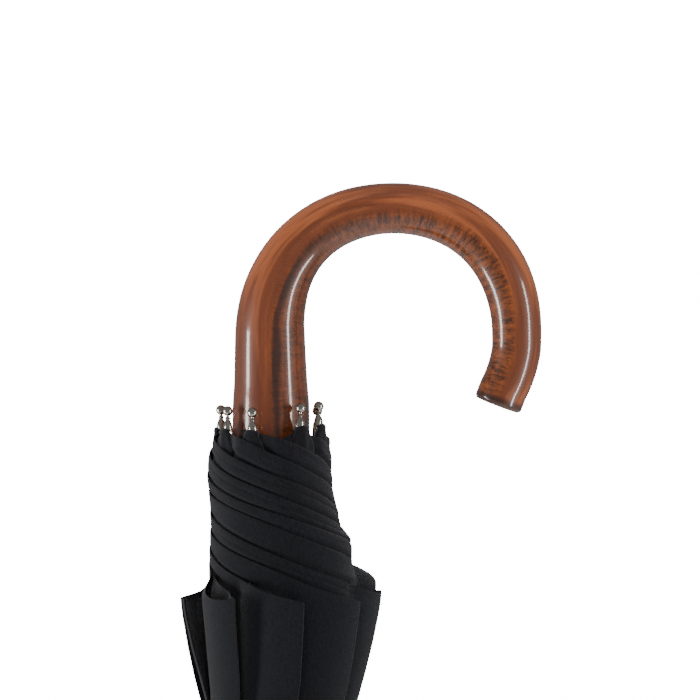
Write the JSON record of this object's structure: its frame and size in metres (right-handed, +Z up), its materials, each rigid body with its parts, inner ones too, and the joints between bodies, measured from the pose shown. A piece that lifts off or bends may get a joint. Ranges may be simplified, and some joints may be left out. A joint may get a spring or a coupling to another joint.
{
  "type": "stick umbrella",
  "caption": "Furled stick umbrella with a bent wooden crook handle, black wrapped canopy, ball-tipped ribs and a sliding runner that opens it.",
  "frame": {"origin": "middle of the ferrule tip's flat end, on the shaft's axis", "axes": "+Z up the shaft from the ferrule tip to the handle; the crook hooks over towards +X; the front faces -Y"},
  "size_m": [0.1417, 0.072, 0.8453],
  "materials": {
    "handle_wood": "bent hardwood, stained brown and polished",
    "shaft_steel": "nickel-plated steel tube",
    "wire_steel": "drawn steel wire and spring leaf",
    "rib_steel": "black lacquered steel channel",
    "tip_nickel": "nickel-plated, polished",
    "moulding": "black moulded plastic",
    "ferrule_steel": "nickel-plated, polished",
    "canopy_cloth": "black close-woven pongee",
    "strap_cloth": "black close-woven pongee, doubled and stitched"
  },
  "bodies": {
    "shaft": {"shaft": "shaft_steel", "handle": "handle_wood", "handle_pin": "wire_steel", "ferrule_tip": "ferrule_steel", "ferrule_tube": "ferrule_steel", "open_cap": "ferrule_steel", "rosette": "canopy_cloth", "crown": "moulding", "crown_wire": "wire_steel", "stop_collar": "shaft_steel"},
    "bottom_spring": {"bottom_spring": "wire_steel"},
    "top_spring": {"top_spring": "wire_steel"},
    "runner": {"runner": "moulding", "runner_wire": "wire_steel"},
    "rib_1": {"rib_1": "rib_steel", "rib_tip_1": "tip_nickel"},
    "stretcher_1": {"stretcher_1": "rib_steel"},
    "rib_2": {"rib_2": "rib_steel", "rib_tip_2": "tip_nickel"},
    "stretcher_2": {"stretcher_2": "rib_steel"},
    "rib_3": {"rib_3": "rib_steel", "rib_tip_3": "tip_nickel"},
    "stretcher_3": {"stretcher_3": "rib_steel"},
    "rib_4": {"rib_4": "rib_steel", "rib_tip_4": "tip_nickel"},
    "stretcher_4": {"stretcher_4": "rib_steel"},
    "rib_5": {"rib_5": "rib_steel", "rib_tip_5": "tip_nickel"},
    "stretcher_5": {"stretcher_5": "rib_steel"},
    "rib_6": {"rib_6": "rib_steel", "rib_tip_6": "tip_nickel"},
    "stretcher_6": {"stretcher_6": "rib_steel"},
    "rib_7": {"rib_7": "rib_steel", "rib_tip_7": "tip_nickel"},
    "stretcher_7": {"stretcher_7": "rib_steel"},
    "rib_8": {"rib_8": "rib_steel", "rib_tip_8": "tip_nickel"},
    "stretcher_8": {"stretcher_8": "rib_steel"},
    "canopy_1_a": {"canopy_1_a": "canopy_cloth", "tie_strap": "strap_cloth", "strap_stud": "tip_nickel"},
    "canopy_1_b": {"canopy_1_b": "canopy_cloth"},
    "canopy_2_a": {"canopy_2_a": "canopy_cloth"},
    "canopy_2_b": {"canopy_2_b": "canopy_cloth"},
    "canopy_3_a": {"canopy_3_a": "canopy_cloth"},
    "canopy_3_b": {"canopy_3_b": "canopy_cloth"},
    "canopy_4_a": {"canopy_4_a": "canopy_cloth"},
    "canopy_4_b": {"canopy_4_b": "canopy_cloth"},
    "canopy_5_a": {"canopy_5_a": "canopy_cloth"},
    "canopy_5_b": {"canopy_5_b": "canopy_cloth"},
    "canopy_6_a": {"canopy_6_a": "canopy_cloth"},
    "canopy_6_b": {"canopy_6_b": "canopy_cloth"},
    "canopy_7_a": {"canopy_7_a": "canopy_cloth"},
    "canopy_7_b": {"canopy_7_b": "canopy_cloth"},
    "canopy_8_a": {"canopy_8_a": "canopy_cloth"},
    "canopy_8_b": {"canopy_8_b": "canopy_cloth"}
  },
  "joints": [
    {"name": "rib_1_hinge", "type": "hinge", "parent": "shaft", "child": "rib_1", "pos_m": [-0.00274, -0.00752, 0.108], "axis": [0.9397, -0.342, 0], "range_deg": [0, 70]},
    {"name": "stretcher_1_hinge", "type": "hinge", "parent": "rib_1", "child": "stretcher_1", "pos_m": [-0.00437, -0.012, 0.36796], "axis": [0.9397, -0.342, 0], "range_deg": [-140, 0]},
    {"name": "rib_2_hinge", "type": "hinge", "parent": "shaft", "child": "rib_2", "pos_m": [0.00338, -0.00725, 0.108], "axis": [0.9063, 0.4226, 0], "range_deg": [0, 70]},
    {"name": "stretcher_2_hinge", "type": "hinge", "parent": "rib_2", "child": "stretcher_2", "pos_m": [0.0054, -0.01157, 0.36796], "axis": [0.9063, 0.4226, 0], "range_deg": [-140, 0]},
    {"name": "rib_3_hinge", "type": "hinge", "parent": "shaft", "child": "rib_3", "pos_m": [0.00752, -0.00274, 0.108], "axis": [0.342, 0.9397, 0], "range_deg": [0, 70]},
    {"name": "stretcher_3_hinge", "type": "hinge", "parent": "rib_3", "child": "stretcher_3", "pos_m": [0.012, -0.00437, 0.36796], "axis": [0.342, 0.9397, 0], "range_deg": [-140, 0]},
    {"name": "rib_4_hinge", "type": "hinge", "parent": "shaft", "child": "rib_4", "pos_m": [0.00725, 0.00338, 0.108], "axis": [-0.4226, 0.9063, 0], "range_deg": [0, 70]},
    {"name": "stretcher_4_hinge", "type": "hinge", "parent": "rib_4", "child": "stretcher_4", "pos_m": [0.01157, 0.0054, 0.36796], "axis": [-0.4226, 0.9063, 0], "range_deg": [-140, 0]},
    {"name": "rib_5_hinge", "type": "hinge", "parent": "shaft", "child": "rib_5", "pos_m": [0.00274, 0.00752, 0.108], "axis": [-0.9397, 0.342, 0], "range_deg": [0, 70]},
    {"name": "stretcher_5_hinge", "type": "hinge", "parent": "rib_5", "child": "stretcher_5", "pos_m": [0.00437, 0.012, 0.36796], "axis": [-0.9397, 0.342, 0], "range_deg": [-140, 0]},
    {"name": "rib_6_hinge", "type": "hinge", "parent": "shaft", "child": "rib_6", "pos_m": [-0.00338, 0.00725, 0.108], "axis": [-0.9063, -0.4226, 0], "range_deg": [0, 70]},
    {"name": "stretcher_6_hinge", "type": "hinge", "parent": "rib_6", "child": "stretcher_6", "pos_m": [-0.0054, 0.01157, 0.36796], "axis": [-0.9063, -0.4226, 0], "range_deg": [-140, 0]},
    {"name": "rib_7_hinge", "type": "hinge", "parent": "shaft", "child": "rib_7", "pos_m": [-0.00752, 0.00274, 0.108], "axis": [-0.342, -0.9397, 0], "range_deg": [0, 70]},
    {"name": "stretcher_7_hinge", "type": "hinge", "parent": "rib_7", "child": "stretcher_7", "pos_m": [-0.012, 0.00437, 0.36796], "axis": [-0.342, -0.9397, 0], "range_deg": [-140, 0]},
    {"name": "rib_8_hinge", "type": "hinge", "parent": "shaft", "child": "rib_8", "pos_m": [-0.00725, -0.00338, 0.108], "axis": [0.4226, -0.9063, 0], "range_deg": [0, 70]},
    {"name": "stretcher_8_hinge", "type": "hinge", "parent": "rib_8", "child": "stretcher_8", "pos_m": [-0.01157, -0.0054, 0.36796], "axis": [0.4226, -0.9063, 0], "range_deg": [-140, 0]},
    {"name": "runner_hinge", "type": "hinge", "parent": "stretcher_1", "child": "runner", "pos_m": [-0.00274, -0.00752, 0.62791], "axis": [0.9397, -0.342, 0], "range_deg": [0, 70]},
    {"name": "canopy_1_a_unfolds", "type": "hinge", "parent": "rib_1", "child": "canopy_1_a", "pos_m": [-0.00274, -0.00752, 0.108], "axis": [0.283, 0.9591, -0.0099], "range_deg": [0, 20.03], "deforming": ["canopy_1_a", "tie_strap", "strap_stud"]},
    {"name": "canopy_1_b_unfolds", "type": "hinge", "parent": "rib_2", "child": "canopy_1_b", "pos_m": [0.00338, -0.00725, 0.108], "axis": [0.2827, -0.9589, -0.0244], "range_deg": [0, 25.15], "deforming": ["canopy_1_b"]},
    {"name": "canopy_2_a_unfolds", "type": "hinge", "parent": "rib_2", "child": "canopy_2_a", "pos_m": [0.00338, -0.00725, 0.108], "axis": [-0.4781, 0.8783, -0.0099], "range_deg": [0, 20.03], "deforming": ["canopy_2_a"]},
    {"name": "canopy_2_b_unfolds", "type": "hinge", "parent": "rib_3", "child": "canopy_2_b", "pos_m": [0.00752, -0.00274, 0.108], "axis": [0.8779, -0.4782, -0.0244], "range_deg": [0, 25.15], "deforming": ["canopy_2_b"]},
    {"name": "canopy_3_a_unfolds", "type": "hinge", "parent": "rib_3", "child": "canopy_3_a", "pos_m": [0.00752, -0.00274, 0.108], "axis": [-0.9591, 0.283, -0.0099], "range_deg": [0, 20.03], "deforming": ["canopy_3_a"]},
    {"name": "canopy_3_b_unfolds", "type": "hinge", "parent": "rib_4", "child": "canopy_3_b", "pos_m": [0.00725, 0.00338, 0.108], "axis": [0.9589, 0.2827, -0.0244], "range_deg": [0, 25.15], "deforming": ["canopy_3_b"]},
    {"name": "canopy_4_a_unfolds", "type": "hinge", "parent": "rib_4", "child": "canopy_4_a", "pos_m": [0.00725, 0.00338, 0.108], "axis": [-0.8783, -0.4781, -0.0099], "range_deg": [0, 20.03], "deforming": ["canopy_4_a"]},
    {"name": "canopy_4_b_unfolds", "type": "hinge", "parent": "rib_5", "child": "canopy_4_b", "pos_m": [0.00274, 0.00752, 0.108], "axis": [0.4782, 0.8779, -0.0244], "range_deg": [0, 25.15], "deforming": ["canopy_4_b"]},
    {"name": "canopy_5_a_unfolds", "type": "hinge", "parent": "rib_5", "child": "canopy_5_a", "pos_m": [0.00274, 0.00752, 0.108], "axis": [-0.283, -0.9591, -0.0099], "range_deg": [0, 20.03], "deforming": ["canopy_5_a"]},
    {"name": "canopy_5_b_unfolds", "type": "hinge", "parent": "rib_6", "child": "canopy_5_b", "pos_m": [-0.00338, 0.00725, 0.108], "axis": [-0.2827, 0.9589, -0.0244], "range_deg": [0, 25.15], "deforming": ["canopy_5_b"]},
    {"name": "canopy_6_a_unfolds", "type": "hinge", "parent": "rib_6", "child": "canopy_6_a", "pos_m": [-0.00338, 0.00725, 0.108], "axis": [0.4781, -0.8783, -0.0099], "range_deg": [0, 20.03], "deforming": ["canopy_6_a"]},
    {"name": "canopy_6_b_unfolds", "type": "hinge", "parent": "rib_7", "child": "canopy_6_b", "pos_m": [-0.00752, 0.00274, 0.108], "axis": [-0.8779, 0.4782, -0.0244], "range_deg": [0, 25.15], "deforming": ["canopy_6_b"]},
    {"name": "canopy_7_a_unfolds", "type": "hinge", "parent": "rib_7", "child": "canopy_7_a", "pos_m": [-0.00752, 0.00274, 0.108], "axis": [0.9591, -0.283, -0.0099], "range_deg": [0, 20.03], "deforming": ["canopy_7_a"]},
    {"name": "canopy_7_b_unfolds", "type": "hinge", "parent": "rib_8", "child": "canopy_7_b", "pos_m": [-0.00725, -0.00338, 0.108], "axis": [-0.9589, -0.2827, -0.0244], "range_deg": [0, 25.15], "deforming": ["canopy_7_b"]},
    {"name": "canopy_8_a_unfolds", "type": "hinge", "parent": "rib_8", "child": "canopy_8_a", "pos_m": [-0.00725, -0.00338, 0.108], "axis": [0.8783, 0.4781, -0.0099], "range_deg": [0, 20.03], "deforming": ["canopy_8_a"]},
    {"name": "canopy_8_b_unfolds", "type": "hinge", "parent": "rib_1", "child": "canopy_8_b", "pos_m": [-0.00274, -0.00752, 0.108], "axis": [-0.4782, -0.8779, -0.0244], "range_deg": [0, 25.15], "deforming": ["canopy_8_b"]},
    {"name": "bottom_spring_press", "type": "hinge", "parent": "shaft", "child": "bottom_spring", "pos_m": [0.00011, -0.0026, 0.639], "axis": [-0.999, -0.0436, 0], "range_deg": [0, 3], "stiffness_Nm_per_rad": 0.5},
    {"name": "top_spring_press", "type": "hinge", "parent": "shaft", "child": "top_spring", "pos_m": [0.00011, -0.0026, 0.327], "axis": [-0.999, -0.0436, 0], "range_deg": [0, 3], "stiffness_Nm_per_rad": 0.5}
  ],
  "couplings": [
    {"joint": "stretcher_1_hinge", "follows": "rib_1_hinge", "ratio": -2},
    {"joint": "rib_2_hinge", "follows": "rib_1_hinge", "ratio": 1},
    {"joint": "stretcher_2_hinge", "follows": "rib_1_hinge", "ratio": -2},
    {"joint": "rib_3_hinge", "follows": "rib_1_hinge", "ratio": 1},
    {"joint": "stretcher_3_hinge", "follows": "rib_1_hinge", "ratio": -2},
    {"joint": "rib_4_hinge", "follows": "rib_1_hinge", "ratio": 1},
    {"joint": "stretcher_4_hinge", "follows": "rib_1_hinge", "ratio": -2},
    {"joint": "rib_5_hinge", "follows": "rib_1_hinge", "ratio": 1},
    {"joint": "stretcher_5_hinge", "follows": "rib_1_hinge", "ratio": -2},
    {"joint": "rib_6_hinge", "follows": "rib_1_hinge", "ratio": 1},
    {"joint": "stretcher_6_hinge", "follows": "rib_1_hinge", "ratio": -2},
    {"joint": "rib_7_hinge", "follows": "rib_1_hinge", "ratio": 1},
    {"joint": "stretcher_7_hinge", "follows": "rib_1_hinge", "ratio": -2},
    {"joint": "rib_8_hinge", "follows": "rib_1_hinge", "ratio": 1},
    {"joint": "stretcher_8_hinge", "follows": "rib_1_hinge", "ratio": -2},
    {"joint": "runner_hinge", "follows": "rib_1_hinge", "ratio": 1},
    {"joint": "canopy_1_a_unfolds", "follows": "rib_1_hinge", "ratio": 0.28547},
    {"joint": "canopy_1_b_unfolds", "follows": "rib_1_hinge", "ratio": 0.35863},
    {"joint": "canopy_2_a_unfolds", "follows": "rib_1_hinge", "ratio": 0.28547},
    {"joint": "canopy_2_b_unfolds", "follows": "rib_1_hinge", "ratio": 0.35863},
    {"joint": "canopy_3_a_unfolds", "follows": "rib_1_hinge", "ratio": 0.28547},
    {"joint": "canopy_3_b_unfolds", "follows": "rib_1_hinge", "ratio": 0.35863},
    {"joint": "canopy_4_a_unfolds", "follows": "rib_1_hinge", "ratio": 0.28547},
    {"joint": "canopy_4_b_unfolds", "follows": "rib_1_hinge", "ratio": 0.35863},
    {"joint": "canopy_5_a_unfolds", "follows": "rib_1_hinge", "ratio": 0.28547},
    {"joint": "canopy_5_b_unfolds", "follows": "rib_1_hinge", "ratio": 0.35863},
    {"joint": "canopy_6_a_unfolds", "follows": "rib_1_hinge", "ratio": 0.28547},
    {"joint": "canopy_6_b_unfolds", "follows": "rib_1_hinge", "ratio": 0.35863},
    {"joint": "canopy_7_a_unfolds", "follows": "rib_1_hinge", "ratio": 0.28547},
    {"joint": "canopy_7_b_unfolds", "follows": "rib_1_hinge", "ratio": 0.35863},
    {"joint": "canopy_8_a_unfolds", "follows": "rib_1_hinge", "ratio": 0.28547},
    {"joint": "canopy_8_b_unfolds", "follows": "rib_1_hinge", "ratio": 0.35863}
  ]
}
